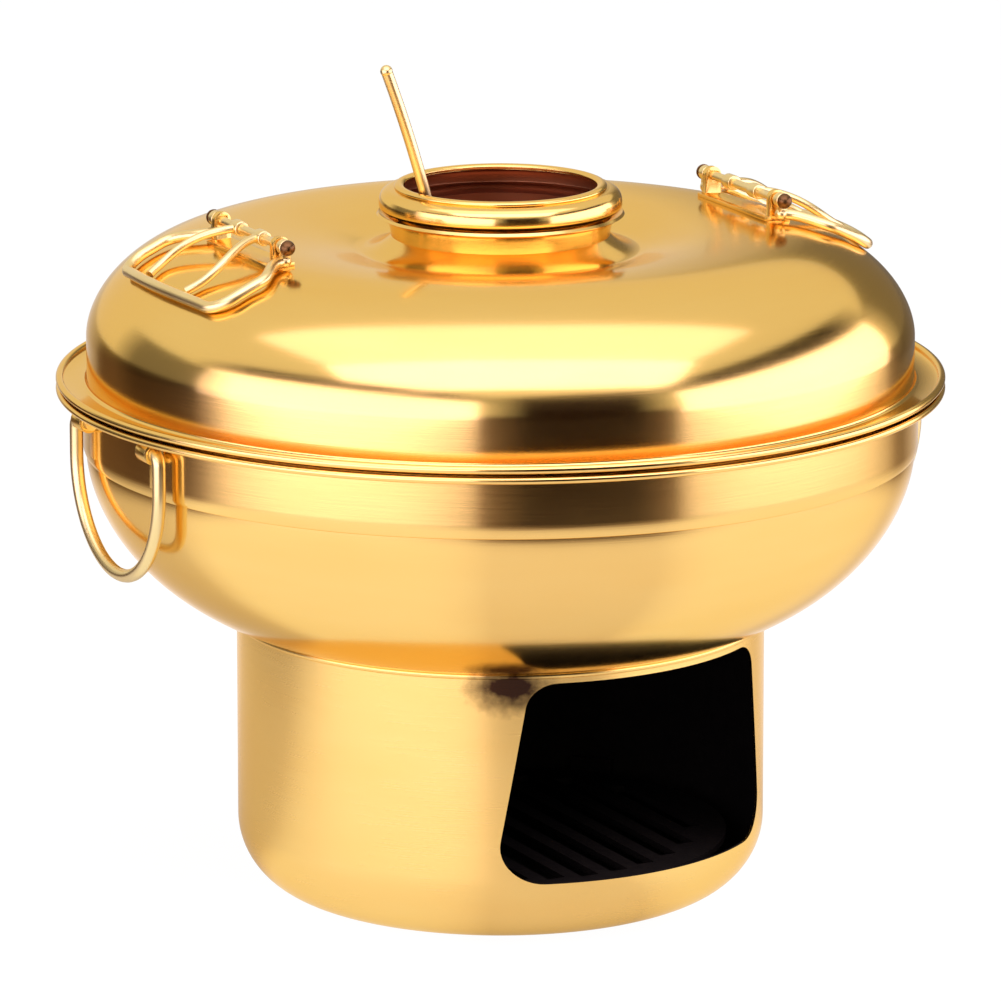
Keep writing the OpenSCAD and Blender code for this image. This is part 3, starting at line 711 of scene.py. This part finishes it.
lid_outline = [(lid_bead_ring, lid_bead_z), (lid_bead_ring - 1.1 * mm, lid_flange_z + 0.6 * mm),
               (lid_bead_ring - 2.3 * mm, lid_flange_z)]
lid_round = 1.4 * mm
lid_outline += arc((lid_wall + lid_round, lid_flange_z + lid_round), lid_round, -90, -180, 8)
lid_outline += [(lid_wall, lid_flange_z + z * mm) for z in (4, 7, 10)]
for i in range(65):
    t = radians(90 * i / 64)
    lid_outline.append((lid_crest + (lid_wall - lid_crest) * cos(t) ** (2 / lid_round_side),
                        lid_wall_z + shoulder_height * sin(t) ** (2 / lid_round_top)))
throat_radius = neck_radius + weld + sheet
dish_steps = [i / 16 for i in range(1, 17)]
for part in dish_steps:
    lid_outline.append((lid_crest - (lid_crest - lid_crease) * part, crest_z - lid_dip * part ** 2))
for part in dish_steps:
    radius = lid_crease - (lid_crease - throat_radius) * part
    lid_outline.append((radius, crease_z + throat_rise * part ** 2))
lid = spin("lid_spun", lid_outline)
roll_edge(lid, lid_bead_ring, lid_bead_z, lid_bead)
lid.data.materials.clear()
lid.data.materials.append(spun_brass)
finished(lid, "lid", "polished_brass", "lid_shell")

# The ring welded inside the wall, which drops into the pot's band.
seat_low, seat_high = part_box("lid_ring")
weld_radius = lid_wall - sheet - weld
drop_radius = min(weld_radius, band_radius - sheet - 0.5 * mm)
lid_ring = spin("lid_locating_ring", [
    (drop_radius, seat_low.z), (drop_radius, lid_under_z), (weld_radius, lid_flange_z + 1.5 * mm),
    (weld_radius, seat_high.z)])
lid_ring.data.materials.append(plain_brass)
finished(lid_ring, "lid", "polished_brass", "lid_ring")

# ---- Neck and snuffer cap ----------------------------------------------------
# The neck is a short spun collar with a flared lip. The snuffer is a spun cup
# whose bulged ring sits in that lip; a rod is welded to a pad on its floor.
neck_inner = 32.3 * mm
neck_height = 6.8 * mm
neck_flare = 0.8 * mm
lift_gap = 0.35 * mm
cup_radius = 31.8 * mm
mouth_bead = (1.6 * mm, 0.9 * mm)
mouth_ring = 30.2 * mm + mouth_bead[0]
ring_high = 5.2 * mm
ring_low = 2.4 * mm
ring_full = 2.8
ring_end = 84
ring_set = 1.2 * mm
ring_width = 6.4 * mm - ring_set
ring_centre = (cup_radius + ring_set, throat_z + neck_height + ring_low + lift_gap)
cup_corner = 2 * mm
cup_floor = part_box("snuffer_cup")[0].z
mouth_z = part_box("snuffer_cup")[1].z - mouth_bead[1]


def flattened(centre, across, up, start, stop, count):
    """Points on an ellipse in the drawing plane; the angles are in degrees."""
    angles = [radians(start + (stop - start) * i / count) for i in range(count + 1)]
    return [(centre[0] + across * cos(a), centre[1] + up * sin(a)) for a in angles]


neck_outline = [(neck_inner + sheet, throat_z - 3 * mm), (neck_inner + sheet, throat_z),
                (neck_inner + sheet + neck_flare, throat_z + neck_height * 0.62)]
seat = lift_gap + sheet
neck_outline += flattened(ring_centre, ring_width + seat, ring_low + seat, -72, -36, 14)
neck = spin("lid_neck_spun", list(reversed(neck_outline)))
neck.data.materials.append(spun_brass)
finished(neck, "lid", "polished_brass", "lid_neck")

cup_outline = [(0.0, cup_floor)]
cup_outline += arc((cup_radius - cup_corner, cup_floor + cup_corner), cup_corner, -90, 0, 8)
cup_outline += [(cup_radius, ring_centre[1] - ring_low - 0.8 * mm)]
cup_outline += flattened(ring_centre, ring_width, ring_low, -ring_end, 0, 16)
for i in range(1, 33):
    t = radians(ring_end * i / 32)
    cup_outline.append((ring_centre[0] + ring_width * cos(t) ** (2 / ring_full),
                        ring_centre[1] + ring_high * sin(t) ** (2 / ring_full)))
cup_outline += [(mouth_ring, mouth_z)]
cup = spin("snuffer_cup_spun", cup_outline)
lip_outline = flattened((mouth_ring, mouth_z), mouth_bead[0], mouth_bead[1], 0, 360, 24)
merged(cup, spin("mouth_bead", lip_outline, thickness=0))
# The cup's inside is painted a darker brown: partly heat browning, partly painted shade of the hollow that
# dims its reflections.
cup_inside = heat_browned("cup_inside", (0.26, 0.10, 0.05, 1), (0.44, 0.19, 0.09, 1))


def inside_the_cup(c, n):
    """Whether a face, by its middle and normal, is on the inside, browned by heat and darkened as painted
    shade.
    """
    on_wall = n.x * c.x + n.y * c.y < 0 and c.z < mouth_z - mouth_bead[1]
    return on_wall or (n.z > 0.9 and c.z < cup_floor + 2 * sheet)


coat(cup, spun_brass, cup_inside, inside_the_cup)
finished(cup, "snuffer", "polished_brass", "snuffer_cup")

rod_wire = 1.8 * mm
rod_turn = radians(186)
rod_bow = 450 * mm
rod_foot = 24.2 * mm
rod_lean = (15, 22)
rod_low_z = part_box("snuffer_rod")[0].z
foot_trim = 0.15
foot_lean = radians(rod_lean[0])
rod_centre = (rod_foot + rod_bow * cos(foot_lean), rod_low_z - rod_bow * sin(foot_lean))
rod_line = arc(rod_centre, rod_bow, 180 - rod_lean[0] - foot_trim, 180 - rod_lean[1], 24)
rod = bend_wire("snuffer_rod_wire", [
    Vector((r * cos(rod_turn), r * sin(rod_turn), z)) for r, z in rod_line], rod_wire)
rod_tip = rod_wire + 0.12 * mm
bpy.ops.mesh.primitive_uv_sphere_add(segments=32, ring_count=16, radius=rod_tip)
rod_ball = bpy.context.object
tip_r, tip_z = rod_line[-1]
rod_ball.data.transform(Matrix.Translation((tip_r * cos(rod_turn), tip_r * sin(rod_turn), tip_z)))
merged(rod, rod_ball)
rod.data.materials.append(wire_brass)
finished(rod, "snuffer", "polished_brass", "snuffer_rod")
refined("rod_pad", "rod_weld_pad", "snuffer", "polished_brass", plain_brass, 0.2 * mm)

# ---- Lid handle brackets and pins --------------------------------------------
# A plate formed to the lid and welded to its crest has two upright lugs. The
# bare hinge pin runs through them and ends in two peened round heads.
# The peened heads are painted dark brown, a painted dark reflection of the surroundings.
painted_dark_heads = drawn_wire("painted_dark_heads", (0.09, 0.045, 0.018, 1), (0.22, 0.11, 0.04, 1), 0.3)
head_length = 2.5 * mm
pin_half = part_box("right_hinge_pin")[1].y - head_length
for side in ("left", "right"):
    refined(f"{side}_lid_bracket", f"{side}_handle_bracket", "lid", "polished_brass", plain_brass, 0.25 * mm)
    pin = refined(f"{side}_hinge_pin", f"{side}_peened_pin", "lid", "polished_brass", wire_brass, 0.1 * mm)
    # The heads get the painted dark reflection.
    coat(pin, wire_brass, painted_dark_heads, lambda c, n: abs(c.y) > pin_half - 0.05 * mm)

# ---- Lid handles -------------------------------------------------------------
# An outer loop of wire ends in two balls, which hang from the pin by short links.
# Two bowed inner wires are rolled round the pin and welded to the loop.
pin_low, pin_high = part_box("right_hinge_pin")
pin_x = (pin_low.x + pin_high.x) / 2
pin_z = (pin_low.z + pin_high.z) / 2
pin_wire = 1.4 * mm
knuckle = 2.4 * mm
handle_reach = 31 * mm
half_width = 36 * mm
bar_bow = 2.5 * mm
corner_round = 8 * mm
outer_wire = 1.8 * mm
end_ball = 2.1 * mm
inner_wire = 1.35 * mm
rest_gap = 0.8 * mm
link_width = 3 * mm
arm_y = 23 * mm + 0.4 * mm + end_ball
bow_knuckle = (6 * mm, 5 * mm)
bow_half = 17 * mm
bow_end_half = 14 * mm
comes_down = 0.8


def bezier(a, b, c, d, count):
    """Points on a cubic curve, seen from above."""
    points = []
    for i in range(count + 1):
        s = i / count
        weights = ((1 - s) ** 3, 3 * s * (1 - s) ** 2, 3 * s * s * (1 - s), s ** 3)
        points.append(tuple(sum(w * p[k] for w, p in zip(weights, (a, b, c, d))) for k in (0, 1)))
    return points


def lying_on_lid(flat, radius):
    """Lays points seen from above on the lid, as the middle line of a wire."""
    return [Vector((x, y, lid_top_z(hypot(x, y)) + radius + rest_gap)) for x, y in flat]


def from_the_pin(flat, radius):
    """Lays points on the lid too, but starts level with the pin and comes down to it."""
    lifted = []
    for point in lying_on_lid(flat, radius):
        s = min(1.0, max(0.0, (point.x - pin_x) / (handle_reach * comes_down)))
        s = s * s * (3 - 2 * s)
        lifted.append(Vector((point.x, point.y, (1 - s) * pin_z + s * point.z)))
    return lifted


def bar_x(y):
    """How far out the loop's slightly bowed front bar lies."""
    return pin_x + handle_reach - bar_bow * (abs(y) / (half_width - corner_round)) ** 2


def rolled_knuckle(middle, length, side):
    """The end of a wire or link rolled round the pin."""
    bpy.ops.object.select_all(action="DESELECT")
    bpy.ops.mesh.primitive_cylinder_add(vertices=48, radius=knuckle, depth=length)
    roll = bpy.context.object
    turn = Matrix.Rotation(pi / 2, 4, "X")
    roll.data.transform(Matrix.Translation((side * pin_x, middle, pin_z)) @ turn)
    apply(roll, "BEVEL", width=0.4 * mm, segments=3, limit_method="ANGLE", angle_limit=radians(60))
    return roll


def end_link(middle, side):
    """A ball on the loop's end and the short flat link between it and the pin."""
    ball_z = lid_top_z(hypot(pin_x, arm_y)) + outer_wire + rest_gap
    bpy.ops.mesh.primitive_uv_sphere_add(segments=32, ring_count=16, radius=end_ball)
    ball = bpy.context.object
    ball.data.transform(Matrix.Translation((side * pin_x, middle, ball_z)))
    bpy.ops.mesh.primitive_cube_add(size=1.0)
    link = bpy.context.object
    link.data.transform(Matrix.Translation((side * pin_x, middle, (pin_z + ball_z) / 2))
                        @ Matrix.Diagonal((2 * pin_wire, link_width, pin_z - ball_z, 1)))
    apply(link, "BEVEL", width=0.3 * mm, segments=2)
    return [ball, link, rolled_knuckle(middle, link_width, side)]


corner_x = pin_x + handle_reach - bar_bow - corner_round
half_flat = bezier((pin_x, arm_y), (pin_x + 7 * mm, arm_y),
                   (pin_x + 8 * mm, half_width), (pin_x + 14 * mm, half_width), 20)
half_flat += arc((corner_x, half_width - corner_round), corner_round, 90, 8, 14)
half_flat += [(bar_x(y), y) for y in ((half_width - corner_round) * (1 - i / 16) for i in range(2, 17))]
whole_flat = half_flat + [(x, -y) for x, y in reversed(half_flat[:-1])]
bow_y = bow_knuckle[0] + bow_knuckle[1] / 2
bow_end_x = bar_x(bow_end_half) - outer_wire - inner_wire * 0.35 - 0.15 * mm
bow_flat = bezier((pin_x + pin_wire, bow_y), (pin_x + 9 * mm, bow_y + 1 * mm),
                  (pin_x + 16 * mm, 2 * bow_half - bow_end_half), (bow_end_x, bow_end_half), 32)

for side, sign in (("right", 1), ("left", -1)):
    loop = lying_on_lid(whole_flat, outer_wire)
    bow = from_the_pin(bow_flat, inner_wire)
    other_bow = [Vector((p.x, -p.y, p.z)) for p in bow]
    if sign < 0:
        loop, bow, other_bow = turned_half(loop), turned_half(bow), turned_half(other_bow)
    outer = bend_wire(f"{side}_lid_loop", loop, outer_wire)
    merged(outer, *end_link(arm_y, sign), *end_link(-arm_y, sign))
    outer.data.materials.append(wire_brass)
    finished(outer, f"lid_handle_{side}", "polished_brass", f"{side}_lid_handle")
    bows = bend_wire(f"{side}_lid_bows", bow, inner_wire)
    rolls = [bend_wire(f"{side}_other_bow", other_bow, inner_wire),
             rolled_knuckle(bow_y, bow_knuckle[1], sign), rolled_knuckle(-bow_y, bow_knuckle[1], sign)]
    merged(bows, *rolls)
    bows.data.materials.append(wire_brass)
    finished(bows, f"lid_handle_{side}", "polished_brass", f"{side}_handle_bows")
